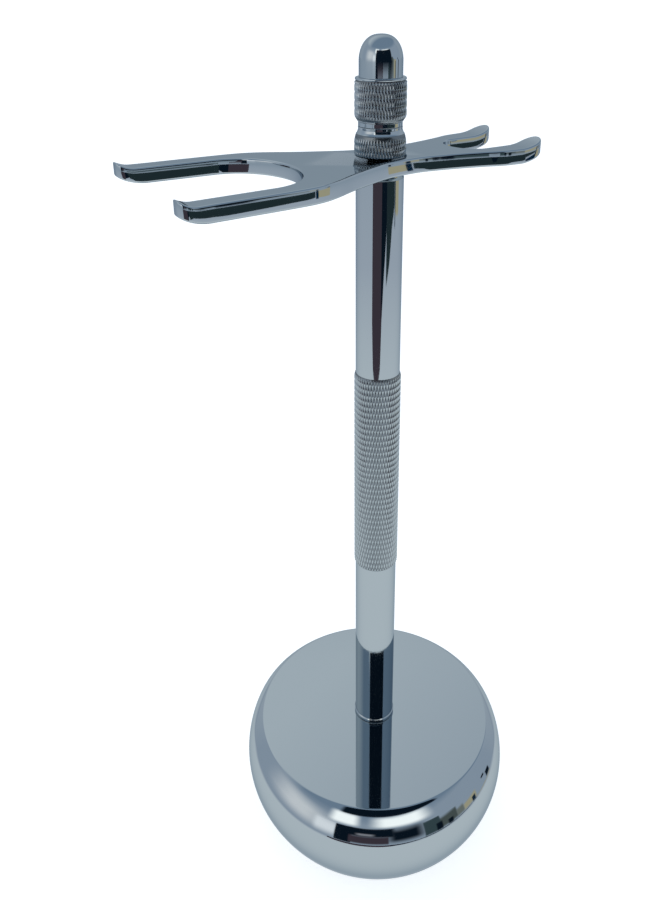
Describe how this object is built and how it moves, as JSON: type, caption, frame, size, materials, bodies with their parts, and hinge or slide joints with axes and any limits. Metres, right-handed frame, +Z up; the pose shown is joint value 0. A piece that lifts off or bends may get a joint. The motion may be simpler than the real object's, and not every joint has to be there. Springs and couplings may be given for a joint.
{
  "type": "razor stand",
  "caption": "Free-standing chromed stand with a weighted round base, a slim post with a knurled grip, and a two-ended fork for a shaving brush and a razor.",
  "frame": {"origin": "centre of the underside of the base pad, on the post's axis", "axes": "+Z up along the post; -X towards the wide brush prongs, +X towards the narrow razor prongs"},
  "size_m": [0.0846, 0.069, 0.201],
  "materials": {
    "chrome": "bright polished chrome plate, knurled on the grip, the nut and the collar",
    "steel": "zinc-plated fasteners and stamped disc",
    "iron": "rough cast, unpainted",
    "brass": "turned, unpolished",
    "rubber": "matt, fine cellular grain",
    "nylon": "natural white, matt"
  },
  "bodies": {
    "stand": {"base_shell": "chrome", "base_weight": "iron", "base_cover": "steel", "base_pad": "rubber", "base_screw": "steel", "base_washer": "steel", "lock_washer": "steel", "cover_screw_1": "steel", "cover_screw_2": "steel", "cover_screw_3": "steel", "foot_washer": "nylon", "post": "chrome", "post_lower_plug": "brass", "post_upper_plug": "brass", "fork_washer": "chrome", "fork_stud": "steel", "clamp_nut": "chrome"},
    "fork": {"fork": "chrome"},
    "finial_washer": {"finial_washer": "chrome"},
    "finial": {"finial_knob": "chrome"}
  },
  "joints": [
    {"name": "fork_swivel", "type": "hinge", "parent": "stand", "child": "fork", "pos_m": [0, 0, 0.1755], "axis": [0, 0, 1], "continuous": true},
    {"name": "finial_lift", "type": "slide", "parent": "stand", "child": "finial_washer", "axis": [0, 0, 1], "range_m": [0, 0.0072]},
    {"name": "finial_turn", "type": "hinge", "parent": "finial_washer", "child": "finial", "pos_m": [0, 0, 0.19], "axis": [0, 0, 1], "range_deg": [0, 3242]}
  ],
  "couplings": [
    {"joint": "finial_turn", "follows": "finial_lift", "rad_per_m": 7854}
  ]
}
